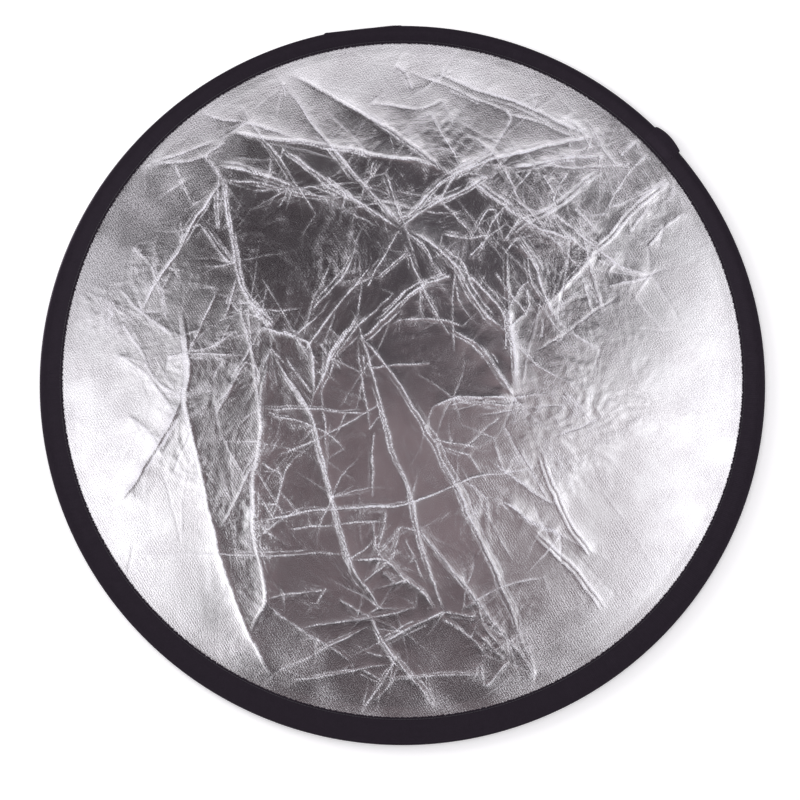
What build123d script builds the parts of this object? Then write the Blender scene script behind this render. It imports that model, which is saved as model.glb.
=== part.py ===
from build123d import *
import os
from math import degrees

# Collapsible two-sided reflector disc, 600 mm across, lying flat with its silver face up.
#
# A flat spring-steel hoop, closed by a riveted sleeve, is sewn into a folded cloth binding. The
# binding also holds the edges of two cloth panels that lie back to back. All lengths are in
# millimetres. The origin is on the resting plane, under the disc's centre, with +Z up.
#
# The disc flexes about lines that run along X. The hoop, panels, binding and thread are each one
# continuous piece, and each is divided across Y into seven bands. One band of each makes up one
# rigid body of the fold.

# --- Driving dimensions ---
disc_radius = 300.0  # to the outside of the binding
rim_height = 6.0  # thickest part of the rim, where it wraps the hoop
mid_height = rim_height / 2  # plane where the two panels meet

strip_thickness = 0.4  # the binding's cloth
panel_thickness = 0.3  # each panel
panel_radius = 291.0  # each panel's cut edge, caught inside the binding

opening_radius = 281.0  # circle of the binding's sewn inner edge
opening_shift = 4.0  # the strip is sewn wider on the -Y side, so that circle sits towards +Y
flap_start_radius = 275.0  # inside the opening everywhere, and trimmed off by it
shoulder_radius = 291.5  # where the flaps start to rise over the hoop
bulge_radius = 295.0  # where the rim reaches its full height
rim_corner = 1.4  # rounding of the rim's outer corners

thread_inset = 2.0  # from the binding's inner edge to the seam
thread_width = 0.5
thread_height = 0.25

hoop_outer_radius = 298.8
hoop_thickness = 0.8  # across the band, along the disc's radius
hoop_width = 4.0  # across the disc's thickness
hoop_end_gap = 1.0  # between the hoop's two ends, inside the sleeve

splice_angle = 96.7  # middle of the sleeve, anticlockwise from +X
sleeve_length = 60.0
sleeve_wall = 0.4
sleeve_corner = 0.5
wrap_wall = 0.12
wrap_overhang = 3.0  # wrap beyond each end of the sleeve
rivet_radius = 1.0
rivet_spacing = 30.0

lap_angle = 42.6  # middle of the binding's lapped end
lap_length = 28.0
lap_thickness = 0.3
lap_reach = 2.0  # how far the lapped end stands out beyond the disc's edge
lap_inner_radius = 286.7  # leaves 3 mm of the strip below showing beside its inner edge
strip_end_gap = 0.6  # between the strip's start and end, under the lap

fold_lines = (-150.0, -90.0, -30.0, 30.0, 90.0, 150.0)  # Y of each line where the disc flexes
fold_clearance = 0.3  # gap between neighbouring bands
band_names = (
    "bottom_wing",
    "lower_outer",
    "lower_inner",
    "centre",
    "upper_inner",
    "upper_outer",
    "top_wing",
)

# --- Values worked out from them ---
flap_top = mid_height + panel_thickness + strip_thickness
flap_bottom = mid_height - panel_thickness - strip_thickness
seam_radius = opening_radius + thread_inset
hoop_mid_radius = hoop_outer_radius - hoop_thickness / 2
band_section = (hoop_thickness, hoop_width)
sleeve_section = (hoop_thickness + 2 * sleeve_wall, hoop_width + 2 * sleeve_wall)
wrap_section = (sleeve_section[0] + 2 * wrap_wall, sleeve_section[1] + 2 * wrap_wall)
half_box = disc_radius + 20.0  # reaches past the whole disc on every side

os.makedirs("parts", exist_ok=True)


def arc_angle(length, radius):
    """The angle, in degrees, that an arc of this length covers at this radius."""
    return degrees(length / radius)


def section_plane(angle):
    """The upright plane through the disc's axis at this angle: x is the radius, y is the height."""
    x_dir = Vector(1, 0, 0).rotate(Axis.Z, angle)
    z_dir = Vector(0, -1, 0).rotate(Axis.Z, angle)
    return Plane(origin=(0, 0, 0), x_dir=x_dir, z_dir=z_dir)


def hoop_plane(angle):
    """The plane centred on the hoop at this angle: x runs along the band, z points outward."""
    outward = Vector(1, 0, 0).rotate(Axis.Z, angle)
    along = Vector(0, 1, 0).rotate(Axis.Z, angle)
    centre = outward * hoop_mid_radius + Vector(0, 0, mid_height)
    return Plane(origin=centre, x_dir=along, z_dir=outward)


def export(part, name):
    """Labels a finished piece and writes it under its own name."""
    part.label = name
    export_step(part, f"parts/{name}.step")


def export_bands(whole, name):
    """Divides a continuous piece at the fold lines and writes each band as its own node."""
    lows = [-half_box] + [y + fold_clearance / 2 for y in fold_lines]
    highs = [y - fold_clearance / 2 for y in fold_lines] + [half_box]
    for band_name, low, high in zip(band_names, lows, highs):
        with BuildPart() as band:
            add(whole)
            with Locations((0, (low + high) / 2, 0)):
                Box(2 * half_box, high - low, 2 * half_box, mode=Mode.INTERSECT)
        export(band.part, f"{name}_{band_name}")


# --- Panels: two cloth discs, back to back on the rim's middle plane ---
with BuildPart() as silver_panel:
    with BuildSketch(Plane.XY.offset(mid_height)):
        Circle(panel_radius)
    extrude(amount=panel_thickness)

with BuildPart() as gold_panel:
    with BuildSketch(Plane.XY.offset(mid_height)):
        Circle(panel_radius)
    extrude(amount=-panel_thickness)

export_bands(silver_panel.part, "silver_panel")
export_bands(gold_panel.part, "gold_panel")

# --- Splice rivets: flush pins along the radius, one through each end of the hoop ---
sleeve_arc = arc_angle(sleeve_length, hoop_mid_radius)
rivet_turn = arc_angle(rivet_spacing, hoop_mid_radius)
rivet_angles = (splice_angle - rivet_turn / 2, splice_angle + rivet_turn / 2)

with BuildPart() as splice_rivets:
    for angle in rivet_angles:
        with Locations(hoop_plane(angle)):
            Cylinder(rivet_radius, 2 * sleeve_section[0])
    with BuildSketch(section_plane(splice_angle - sleeve_arc / 2)):
        with Locations((hoop_mid_radius, mid_height)):
            Rectangle(*sleeve_section)
    revolve(axis=Axis.Z, revolution_arc=sleeve_arc, mode=Mode.INTERSECT)

export(splice_rivets.part, "splice_rivets")

# --- Splice sleeve: a flattened steel tube around the hoop's two ends ---
with BuildPart() as splice_sleeve:
    with BuildSketch(section_plane(splice_angle - sleeve_arc / 2)):
        with Locations((hoop_mid_radius, mid_height)):
            RectangleRounded(*sleeve_section, sleeve_corner)
            Rectangle(*band_section, mode=Mode.SUBTRACT)
    revolve(axis=Axis.Z, revolution_arc=sleeve_arc)
    add(splice_rivets.part, mode=Mode.SUBTRACT)

export(splice_sleeve.part, "splice_sleeve")

# --- Splice wrap: thin plastic over the sleeve and a little past its ends ---
wrap_arc = arc_angle(sleeve_length + 2 * wrap_overhang, hoop_mid_radius)
with BuildPart() as splice_wrap:
    with BuildSketch(section_plane(splice_angle - wrap_arc / 2)):
        with Locations((hoop_mid_radius, mid_height)):
            RectangleRounded(*wrap_section, sleeve_corner + wrap_wall)
            RectangleRounded(*sleeve_section, sleeve_corner, mode=Mode.SUBTRACT)
    revolve(axis=Axis.Z, revolution_arc=wrap_arc)

export(splice_wrap.part, "splice_wrap")

# --- Spring hoop: a flat band, open by a small gap where its ends meet in the sleeve ---
with BuildPart() as spring_hoop:
    with BuildSketch(section_plane(0)):
        with Locations((hoop_mid_radius, mid_height)):
            Rectangle(*band_section)
    revolve(axis=Axis.Z)
    with Locations(hoop_plane(splice_angle)):
        Box(hoop_end_gap, 2 * hoop_width, 4 * hoop_thickness, mode=Mode.SUBTRACT)
    add(splice_rivets.part, mode=Mode.SUBTRACT)

export_bands(spring_hoop.part, "spring_hoop")

# --- Binding lap: the strip's closing end, folded round the outside of its start ---
lap_arc = arc_angle(lap_length, disc_radius)
lap_radius = disc_radius + lap_reach
lap_top = flap_top + lap_thickness
lap_bottom = flap_bottom - lap_thickness
lap_height = rim_height + lap_thickness
with BuildPart() as binding_lap:
    with BuildSketch(section_plane(lap_angle - lap_arc / 2)) as lap_section:
        with BuildLine():
            Polyline(
                (lap_inner_radius, lap_bottom),
                (shoulder_radius, lap_bottom),
                (bulge_radius, 0),
                (lap_radius, 0),
                (lap_radius, lap_height),
                (bulge_radius, lap_height),
                (shoulder_radius, lap_top),
                (lap_inner_radius, lap_top),
                close=True,
            )
        make_face()
        fillet(lap_section.vertices().group_by(Axis.X)[-1], rim_corner)
        offset(amount=-lap_thickness, mode=Mode.SUBTRACT)
        with Locations((lap_inner_radius, mid_height)):
            Rectangle(4 * lap_thickness, flap_top - flap_bottom, mode=Mode.SUBTRACT)
    revolve(axis=Axis.Z, revolution_arc=lap_arc)

export(binding_lap.part, "binding_lap")

# --- Rim binding: one strip folded in a U over the hoop and the panels' edges ---
with BuildPart() as rim_binding:
    with BuildSketch(section_plane(0)) as rim_section:
        with BuildLine():
            Polyline(
                (flap_start_radius, flap_bottom),
                (shoulder_radius, flap_bottom),
                (bulge_radius, 0),
                (disc_radius, 0),
                (disc_radius, rim_height),
                (bulge_radius, rim_height),
                (shoulder_radius, flap_top),
                (flap_start_radius, flap_top),
                close=True,
            )
        make_face()
        fillet(rim_section.vertices().group_by(Axis.X)[-1], rim_corner)
        offset(amount=-strip_thickness, mode=Mode.SUBTRACT)
    revolve(axis=Axis.Z)
    with BuildSketch(Plane.XY):
        with Locations((0, opening_shift)):
            Circle(opening_radius)
    extrude(amount=rim_height, mode=Mode.SUBTRACT)
    add(binding_lap.part, mode=Mode.SUBTRACT)
    with Locations(hoop_plane(lap_angle)):
        Box(strip_end_gap, 2 * rim_height, 2 * (disc_radius - flap_start_radius), mode=Mode.SUBTRACT)

export_bands(rim_binding.part, "rim_binding")

# --- Seam threads: needle thread on the silver side, bobbin thread on the back ---
with BuildPart() as needle_thread:
    with BuildSketch(Plane.XY.offset(flap_top)):
        with Locations((0, opening_shift)):
            Circle(seam_radius + thread_width / 2)
            Circle(seam_radius - thread_width / 2, mode=Mode.SUBTRACT)
    extrude(amount=thread_height)

with BuildPart() as bobbin_thread:
    with BuildSketch(Plane.XY.offset(flap_bottom)):
        with Locations((0, opening_shift)):
            Circle(seam_radius + thread_width / 2)
            Circle(seam_radius - thread_width / 2, mode=Mode.SUBTRACT)
    extrude(amount=-thread_height)

export_bands(needle_thread.part, "needle_thread")
export_bands(bobbin_thread.part, "bobbin_thread")
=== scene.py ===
"""Looks for the collapsible reflector disc: crumpled silver and gold cloth in a black sewn binding.

Lengths are in millimetres up to the point where a mesh is made, which is in metres. Every continuous
piece is made whole, then divided across Y into six spans.
"""

import math

import bpy
import numpy as np
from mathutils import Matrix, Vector


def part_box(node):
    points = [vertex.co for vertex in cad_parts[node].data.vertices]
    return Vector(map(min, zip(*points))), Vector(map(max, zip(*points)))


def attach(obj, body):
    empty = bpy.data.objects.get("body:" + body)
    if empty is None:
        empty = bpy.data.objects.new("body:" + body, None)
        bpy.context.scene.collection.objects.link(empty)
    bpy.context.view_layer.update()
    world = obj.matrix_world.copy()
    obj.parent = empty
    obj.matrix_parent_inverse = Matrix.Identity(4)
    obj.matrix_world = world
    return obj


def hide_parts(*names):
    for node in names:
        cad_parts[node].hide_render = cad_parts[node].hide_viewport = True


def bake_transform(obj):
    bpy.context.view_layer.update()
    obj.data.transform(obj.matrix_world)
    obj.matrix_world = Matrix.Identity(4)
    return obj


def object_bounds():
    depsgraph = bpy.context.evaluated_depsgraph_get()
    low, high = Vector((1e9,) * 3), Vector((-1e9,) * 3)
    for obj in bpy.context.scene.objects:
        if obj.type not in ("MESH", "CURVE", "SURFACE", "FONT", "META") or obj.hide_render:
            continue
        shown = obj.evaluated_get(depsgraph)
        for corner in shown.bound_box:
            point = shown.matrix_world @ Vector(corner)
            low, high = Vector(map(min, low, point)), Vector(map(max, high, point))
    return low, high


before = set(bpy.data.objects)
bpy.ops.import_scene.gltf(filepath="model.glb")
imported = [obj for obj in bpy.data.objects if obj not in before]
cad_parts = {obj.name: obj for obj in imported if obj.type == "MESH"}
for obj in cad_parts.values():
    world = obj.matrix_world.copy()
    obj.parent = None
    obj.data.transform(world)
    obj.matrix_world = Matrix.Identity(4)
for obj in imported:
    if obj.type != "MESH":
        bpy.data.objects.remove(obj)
cad_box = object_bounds()

MM = 0.001

# --- The disc, from the frame ---
silver_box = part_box("silver_panel_centre")
rim_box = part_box("rim_binding_top_wing")

DISC_RADIUS = cad_box[1][0] / MM
RIM_HEIGHT = rim_box[1][2] / MM
MID_HEIGHT = RIM_HEIGHT / 2
EDGE_TRIM = 1.5
CLOTH_RADIUS = silver_box[1][0] / MM - EDGE_TRIM  # the cloth's edge, hidden between the tape's flaps
FLAP_TOP = 3.75
OPENING_RADIUS = 281.0
OPENING_SHIFT = 4.0
BULGE_RADIUS = 295.5  # where the rim reaches its full height
SEAM_INSET = 2.0
HOOP_RADIUS = 298.4

# --- Spans: name, Y from and to, the two bodies at its sides, where the bend starts and ends ---
FOLD_STEP = 60.0
SPANS = (
    ("bottom", -300, -120, "lower_outer", "bottom_wing", -126, -174),
    ("low", -120, -60, "lower_inner", "lower_outer", -66, -114),
    ("mid_low", -60, 0, "centre", "lower_inner", -6, -54),
    ("mid_high", 0, 60, "centre", "upper_inner", 6, 54),
    ("high", 60, 120, "upper_inner", "upper_outer", 66, 114),
    ("top", 120, 300, "upper_outer", "top_wing", 126, 174),
)

RNG = np.random.default_rng(41)


# === Mesh helpers ===


def make_mesh(name, points, faces, material, normals=None, fields=None):
    """A mesh object from points in millimetres, with smooth shading and optional per-point fields."""
    mesh = bpy.data.meshes.new(name)
    mesh.from_pydata((points * MM).tolist(), [], faces.tolist())
    mesh.update()
    for key, values in (fields or {}).items():
        kind, slot = ("FLOAT_VECTOR", "vector") if values.ndim == 2 else ("FLOAT", "value")
        field = mesh.attributes.new(key, kind, "POINT")
        field.data.foreach_set(slot, values.astype(np.float32).ravel())
    mesh.polygons.foreach_set("use_smooth", np.ones(len(faces), bool))
    if normals is not None:
        mesh.normals_split_custom_set_from_vertices(normals.tolist())
    mesh.materials.append(material)
    piece = bpy.data.objects.new(name, mesh)
    bpy.context.scene.collection.objects.link(piece)
    return piece


def point_normals(points, faces):
    """Area-weighted normals at the points of a whole surface, before it is divided."""
    a, b, c, d = (points[faces[:, i]] for i in range(4))
    face_normals = np.cross(c - a, d - b)
    normals = np.zeros_like(points)
    for i in range(4):
        np.add.at(normals, faces[:, i], face_normals)
    return normals / np.maximum(np.linalg.norm(normals, axis=1, keepdims=True), 1e-12)


def divide(name, points, faces, material, normals, fields, node):
    """Makes one piece for each span from a whole surface, and hides the CAD parts of its two bodies."""
    middles = points[faces][:, :, 1].mean(axis=1)
    made = []
    for span, low, high, body_a, body_b, start, end in SPANS:
        chosen = faces[(middles > low) & (middles <= high)]
        used, local = np.unique(chosen, return_inverse=True)
        piece = make_mesh(
            f"{name}_{span}",
            points[used],
            local.reshape(-1, 4),
            material,
            normals[used],
            {key: values[used] for key, values in fields.items()},
        )
        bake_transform(piece)
        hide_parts(f"{node}_{body_a}", f"{node}_{body_b}")
        made.append(piece)
    return made


# === The cloth's relief ===

GRID_STEP = FOLD_STEP / 73  # cloth mesh spacing: whole steps in each span
GRID_HALF = 366
axis_mm = np.arange(-GRID_HALF, GRID_HALF + 1) * GRID_STEP
GRID_X, GRID_Y = np.meshgrid(axis_mm, axis_mm)


def paired(*runs):
    """Runs written as x, y, x, y and so on, as runs of (x, y) points."""
    return tuple(tuple(zip(run[::2], run[1::2])) for run in runs)


# Creases of the cloth, each a run of given points. Sharp, bright folds:
STRONG = paired(
    (-100, 250, -61, 199, -31, 164, -3, 133),
    (-100, 195, -71, 175, -47, 156, -25, 142, -2, 128),
    (-2, 128, 16, 143, 32, 151, 49, 159, 71, 171),
    (31, 150, 41, 170, 47, 177, 72, 185, 100, 191, 130, 199, 158, 205),
    (5, 127, 20, 117, 43, 99, 48, 93, 57, 73, 67, 56, 84, 40),
    (-33, 36, -17, 50, 0, 66, 16, 78, 36, 86, 40, 89),
    (-33, 36, -27, 13, -20, -9, -13, -37, -7, -61, 7, -96, 12, -118, 20, -150, 25, -167, 32, -185,
     35, -191),
    (-33, 36, -25, 25, -7, 3, 13, -29, 25, -49, 33, -68, 43, -87, 53, -111, 63, -130, 72, -150,
     81, -169, 95, -203, 109, -244),
    (-127, 65, -117, 53, -107, 46),
    (-121, 45, -101, 41, -90, 38, -74, 30, -73, -11),
    (-73, -11, -65, 4, -61, 20, -47, 41, -36, 54),
    (-109, 26, -100, 11, -87, -9, -77, -23, -73, -37, -65, -68, -57, -96, -50, -126, -43, -150,
     -37, -164, -27, -177, -18, -188),
    (92, -15, 71, -15, 53, -14, 41, -15, 33, -19, 25, -23),
    (-121, -117, -97, -113, -60, -106, -20, -105, 4, -102, 20, -97, 41, -87, 64, -79, 85, -77),
    (-149, 167, -147, 147, -142, 117, -139, 99, -135, 78, -123, 62, -106, 48),
    (-149, 167, -162, 148, -170, 138, -181, 118, -191, 101, -205, 80, -215, 58),
    (-149, 179, -130, 177, -110, 171, -90, 164),
    (-44, -149, -15, -148, -8, -154, 4, -165, 17, -176, 25, -189),
    (35, -191, 15, -199, 0, -207, -15, -217),
    (-28, -193, -23, -200, -16, -216, -7, -229, 3, -240, 15, -253, 25, -268),
    (81, -99, 100, -113, 117, -122, 131, -128),
    (90, 179, 110, 182, 139, 187, 165, 189),
    (33, 257, 60, 246, 87, 237, 110, 228, 130, 219, 150, 209),
    (13, -120, 20, -130, 32, -144, 41, -158, 51, -171, 61, -181, 73, -197, 87, -213),
    (48, 94, 66, 78, 79, 63, 87, 46, 91, 29, 94, -4),
    (94, 117, 110, 96, 119, 67, 124, 54),
    (56, 171, 81, 150, 106, 130, 143, 117),
    (123, 142, 145, 124, 164, 109, 185, 92, 206, 88),
    (-18, 150, 0, 133, 23, 158, 36, 171, 71, 188),
)
# Wide, soft ridges:
WIDE = paired(
    (-92, 258, -63, 241, -36, 226, -20, 217, -1, 205, 20, 189, 39, 172),
    (41, 42, 61, 32, 72, 17, 87, -3, 92, -15),
    (87, 106, 87, 78, 88, 52, 89, 20, 92, -3),
    (-138, 209, -122, 205, -90, 201, -51, 196, -20, 189, 20, 184, 39, 172),
    (-183, 57, -179, 38, -177, 25, -175, 11, -178, -11, -177, -29, -173, -49, -167, -72, -162, -93,
     -155, -124, -150, -149, -142, -168, -135, -187, -126, -211, -115, -231, -106, -245),
    (-181, -15, -191, -33, -206, -59, -218, -80, -233, -101),
    (-110, 25, -115, 0, -117, -21, -115, -35, -118, -64, -123, -83, -122, -103, -121, -134,
     -115, -157, -111, -181, -118, -192, -125, -211),
    (159, 109, 150, 95, 137, 81, 123, 66),
)
# Pairs of folds side by side with a dark valley between them:
DOUBLE = paired(
    (114, -60, 121, -83, 129, -103, 138, -120, 149, -136, 154, -144),
    (109, -127, 122, -140, 140, -156, 151, -172, 165, -188),
    (90, 123, 103, 134, 117, 140, 134, 151, 147, 163, 165, 176),
    (161, 111, 173, 121, 183, 134, 197, 147, 215, 164),
)
# Lighter creases:
LIGHT = paired(
    (-2, 128, -15, 105, -25, 86, -29, 78),
    (4, 126, 17, 113, 31, 89, 40, 86),
    (-47, 33, -37, 46, -25, 54, -8, 72),
    (-36, 20, -33, 0, -27, -40),
    (-23, -43, -25, -63, -25, -95),
    (-115, -23, -77, -23, -47, -27, -33, -28),
    (-111, -28, -90, -33, -73, -39, -60, -45, -48, -57),
    (64, -19, 80, -22, 103, -21),
    (100, 80, 89, 66, 84, 40),
    (24, -48, 40, -53, 60, -56),
    (33, -57, 47, -61, 56, -63, 64, -76),
    (77, -47, 80, -65, 85, -77, 103, -87, 117, -99),
    (-149, 167, -119, 166, -90, 159, -55, 152),
    (-149, 167, -155, 179, -165, 187, -149, 199),
    (-165, 187, -177, 184, -190, 183, -210, 182),
    (-210, 183, -189, 189, -173, 195, -157, 201),
    (-166, 226, -153, 221, -130, 218, -90, 204),
    (-135, 233, -127, 218, -119, 207, -103, 189, -90, 168, -83, 159, -71, 139),
    (-189, 181, -182, 167, -174, 148),
    (-167, 130, -157, 114, -150, 105, -142, 97),
    (-153, 172, -153, 151, -152, 126),
    (-138, 86, -143, 66, -146, 53),
    (-134, 65, -131, 49, -127, 30, -123, 15, -118, 0),
    (-153, 76, -162, 56, -167, 41, -175, 25),
    (-181, -15, -190, -9, -210, 7, -215, 25, -225, 38, -234, 50),
    (-177, 24, -162, 25, -149, 32, -137, 40),
    (-194, 20, -174, 22, -130, 21),
    (-130, 15, -142, -5, -154, -21),
    (-118, -63, -127, -77, -137, -100, -149, -121),
    (-115, -69, -109, -73, -101, -76, -98, -84),
    (-90, -66, -98, -80, -103, -103, -107, -114),
    (-223, -144, -150, -144, -97, -145, -70, -143, -50, -145),
    (-110, -185, -97, -195, -82, -205, -70, -213, -57, -221, -41, -232),
    (-82, -205, -57, -200, -37, -197, -16, -195, 11, -188),
    (-99, -237, -85, -233, -70, -225, -59, -219, -43, -211, -28, -203),
    (-110, -180, -97, -177, -63, -173),
    (-90, -247, -70, -245, -43, -239, -32, -236, -8, -235),
    (-53, -181, -43, -187, -24, -196),
    (-1, -122, -16, -142),
    (-1, -122, -8, -148),
    (3, -132, 9, -146, 16, -163),
    (-1, -122, 13, -125),
    (49, -188, 61, -181, 73, -175, 81, -171, 93, -167, 117, -163),
    (-24, -118, -20, -142, -15, -148),
    (-13, -107, -15, -124, -19, -141),
    (-13, -153, -23, -160, -33, -168),
    (-16, -159, -4, -169),
    (33, -196, 44, -203, 57, -212, 69, -227),
    (35, -191, 60, -195),
    (-7, -231, -11, -241, -20, -253, -32, -273),
    (-3, -237, -8, -247, -23, -264),
    (-33, -237, -17, -248),
    (-7, -247, 20, -244, 60, -241),
    (60, -207, 73, -220, 83, -229),
    (63, -189, 68, -205, 84, -223),
    (87, -231, 67, -253),
    (64, -233, 66, -252),
    (87, -213, 100, -229, 109, -244),
    (90, 33, 98, 26, 110, 12, 121, 7, 150, -7),
    (110, 65, 121, 53, 134, 38),
    (110, 181, 143, 179, 173, 181, 189, 183),
    (190, 126, 205, 146),
    (90, 155, 103, 144, 113, 134, 121, 122, 137, 105, 150, 93),
    (129, 126, 143, 117, 157, 106),
    (117, 172, 127, 156),
    (143, 143, 162, 126),
    (150, 86, 154, 72, 159, 56),
    (103, 102, 106, 85, 111, 73, 121, 58),
    (170, 78, 190, 83, 203, 86),
    (162, 102, 175, 95),
    (13, 258, 32, 250, 53, 242, 73, 233, 89, 225),
    (90, 224, 117, 217, 143, 205),
    (84, 230, 91, 221, 87, 212, 76, 197, 72, 184),
    (-28, 233, -9, 232, 17, 229, 33, 236),
    (24, 225, 32, 209, 41, 195, 48, 179),
    (85, 117, 100, 139),
    (33, 123, 53, 119, 72, 121),
    (55, 103, 72, 121),
    (65, 167, 79, 156, 93, 146),
    (-15, 176, 0, 136),
    (-25, 185, -27, 172),
    (-20, 86, 4, 108),
    (-71, 61, -60, 73, -47, 89, -40, 105),
    (-7, 266, 4, 259, 9, 245),
    (183, 189, 195, 201),
    (0, 51, 33, 52, 50, 45),
    (106, 84, 121, 62, 135, 42, 164, 25),
    (145, 138, 152, 116, 156, 96, 168, 54),
    (85, 42, 106, 59, 102, 79),
    (56, 117, 77, 150, 83, 117),
    (23, 159, 38, 143, 56, 125),
    (44, 88, 48, 63),
    (138, 176, 128, 158, 124, 140),
    (60, 205, 76, 190, 92, 166, 98, 148),
    (205, 192, 190, 176, 178, 158, 170, 140),
    (222, 168, 205, 158, 188, 150, 172, 146),
    (160, 212, 168, 196, 180, 180),
    (232, 140, 216, 128, 204, 112),
    (138, 225, 150, 208, 158, 194),
    (-238, 80, -222, 62, -205, 50, -190, 38),
    (-232, 20, -214, 8, -200, -8, -188, -28),
    (-222, 110, -208, 96, -200, 74, -196, 54),
    (-225, -30, -208, -44, -198, -62),
)
# The shape of each kind: height and width of its crest, height and width of its skirt, brightness
STRONG_SHAPE = (0.045, 0.8, 0.20, 6.5, 0.9)
WIDE_SHAPE = (0.07, 1.5, 0.34, 10.0, 0.65)
DOUBLE_SHAPE = (0.07, 0.8, 0.09, 5.0, 0.7)
LIGHT_SHAPE = (0.028, 0.8, 0.08, 4.5, 0.6)
DOUBLE_HALF_GAP = 1.9
STRAY_COUNT = 230
STRAY_SCATTER = 30  # how far strays lie from the longer creases
# Broad hollows and swells of the loose cloth: x, y, radius in x, radius in y, height
SWELLS = (
    (-80, 134, 60, 45, -0.8),
    (30, 144, 35, 30, -0.5),
    (0, -16, 80, 50, 0.4),
    (120, 145, 60, 40, 0.6),
    (-180, 144, 40, 50, 0.5),
    (150, -86, 60, 70, -0.5),
    (-150, -66, 50, 80, 0.5),
    (0, -225, 60, 40, -0.4),
    (60, 14, 50, 50, -0.4),
)
# Patches of heavy crumpling, hazy all over: x, y, radius in x, radius in y, strength
HAZY_PATCHES = (
    (-225, 75, 40, 60, 0.7),
    (95, 125, 55, 50, 0.5),
    (165, 120, 45, 50, 0.4),
    (150, -5, 50, 65, 0.8),
    (-60, 92, 40, 35, 0.5),
    (-35, -160, 40, 40, 0.2),
    (85, -210, 30, 35, 0.3),
    (-185, 140, 40, 45, 0.2),
    (-110, 35, 45, 40, 0.6),
    (10, 200, 80, 35, 0.6),
    (-130, -90, 35, 90, 0.5),
    (145, -60, 35, 35, 0.4),
    (205, 165, 40, 40, 0.5),
    (-190, -60, 40, 60, 0.4),
)
# Patches that stay smooth: x, y, radius in x, radius in y, strength
CLEAR_PATCHES = (
    (45, 10, 40, 50, 0.85),
    (10, -75, 45, 40, 0.6),
    (-95, 110, 42, 36, 0.8),
    (-20, 150, 22, 14, 0.5),
    (20, -262, 60, 18, 0.7),
    (40, -215, 30, 25, 0.7),
    (0, -180, 90, 55, 0.7),
    (-165, 120, 30, 30, 0.5),
    (105, -140, 26, 42, 0.6),
    (105, 208, 26, 12, 0.6),
    (-175, 165, 35, 35, 0.5),
    (112, 160, 16, 12, 0.7),
    (158, 150, 22, 16, 0.7),
)
DOME_HEIGHT = 7.0  # the cloth stands proud of the rim's middle plane at the disc's centre


def soften(field, width):
    """Blurs a field on the grid with a Gaussian of this width in millimetres."""
    frequency = np.fft.fftfreq(field.shape[0], GRID_STEP)
    fy, fx = np.meshgrid(frequency, frequency[: field.shape[1] // 2 + 1], indexing="ij")
    damping = np.exp(-2 * (math.pi * width) ** 2 * (fx**2 + fy**2))
    return np.fft.irfft2(np.fft.rfft2(field) * damping, s=field.shape)


def smooth_noise(width, seed):
    """Smooth random waves on the grid, of this width in millimetres, mostly between -1 and 1."""
    field = soften(np.random.default_rng(seed).normal(size=GRID_X.shape), width)
    return field / (2 * field.std())


WARP_X = 1.1 * smooth_noise(7.0, 11) + 0.35 * smooth_noise(2.0, 12)
WARP_Y = 1.1 * smooth_noise(7.0, 13) + 0.35 * smooth_noise(2.0, 14)


CUT = 0.22  # how far along each leg a run's corners are cut


def smooth_run(run):
    """Listed points with their corners rounded, so that a crease has no kinks."""
    points = np.array(run, float)
    if len(points) == 2:
        return points
    cut = np.empty((2 * len(points) - 2, 2))
    cut[0::2] = (1 - CUT) * points[:-1] + CUT * points[1:]
    cut[1::2] = CUT * points[:-1] + (1 - CUT) * points[1:]
    cut[0], cut[-1] = points[0], points[-1]
    return cut


LINE_WIDTH = 0.6  # the pale line along a crest: wear of the film, and in part a painted highlight
LINE_HALO = 2.0  # its fainter surroundings, also in part a painted highlight


def add_crease(relief, crest, run, height, width, skirt, skirt_width, shine, offset=0.0, fan=False):
    """Raises one crease: a sharp crest on a broad skirt along a run of points. A fan crease is
    strongest where it starts and dies away; the others fade at both ends."""
    reach = 3.5 * max(width, skirt_width)
    points = smooth_run(run)
    if offset:
        along = np.gradient(points, axis=0)
        along /= np.linalg.norm(along, axis=1, keepdims=True)
        points = points + offset * np.stack([-along[:, 1], along[:, 0]], axis=1)
    lows = np.floor((points.min(axis=0) - reach) / GRID_STEP).astype(int) + GRID_HALF
    highs = np.ceil((points.max(axis=0) + reach) / GRID_STEP).astype(int) + GRID_HALF
    x0, y0 = np.maximum(lows, 0)
    x1, y1 = np.minimum(highs, 2 * GRID_HALF) + 1
    if x0 >= x1 or y0 >= y1:
        return
    xs = GRID_X[y0:y1, x0:x1] + WARP_X[y0:y1, x0:x1]
    ys = GRID_Y[y0:y1, x0:x1] + WARP_Y[y0:y1, x0:x1]
    nearest = np.full(xs.shape, np.inf)
    place = np.zeros(xs.shape)
    count = len(points) - 1
    for i in range(count):
        (ax, ay), (bx, by) = points[i], points[i + 1]
        dx, dy = bx - ax, by - ay
        t = np.clip(((xs - ax) * dx + (ys - ay) * dy) / (dx * dx + dy * dy), 0, 1)
        distance = np.hypot(xs - ax - t * dx, ys - ay - t * dy)
        closer = distance < nearest
        nearest = np.where(closer, distance, nearest)
        place = np.where(closer, (i + t) / count, place)
    if fan:
        strength = (1 - place) ** 0.8
    else:
        strength = np.clip(np.minimum(place, 1 - place) * 9 + 0.25, 0, 1)
    phase_a, phase_b = points[0]
    strength = strength * (0.75 + 0.25 * np.sin(place * 17 + phase_a) * np.sin(place * 7 + phase_b))
    sharp = np.exp(-((nearest / width) ** 2))
    relief[y0:y1, x0:x1] += strength * height * sharp
    relief[y0:y1, x0:x1] += strength * skirt * np.exp(-nearest / skirt_width)
    # The crease's pale line: wear of the film, and in part a painted highlight
    part = crest[y0:y1, x0:x1]
    line = np.exp(-((nearest / LINE_WIDTH) ** 2)) + 0.2 * np.exp(-nearest / LINE_HALO)
    np.maximum(part, shine * strength * line, out=part)


FAN_SPACING = 14


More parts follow.
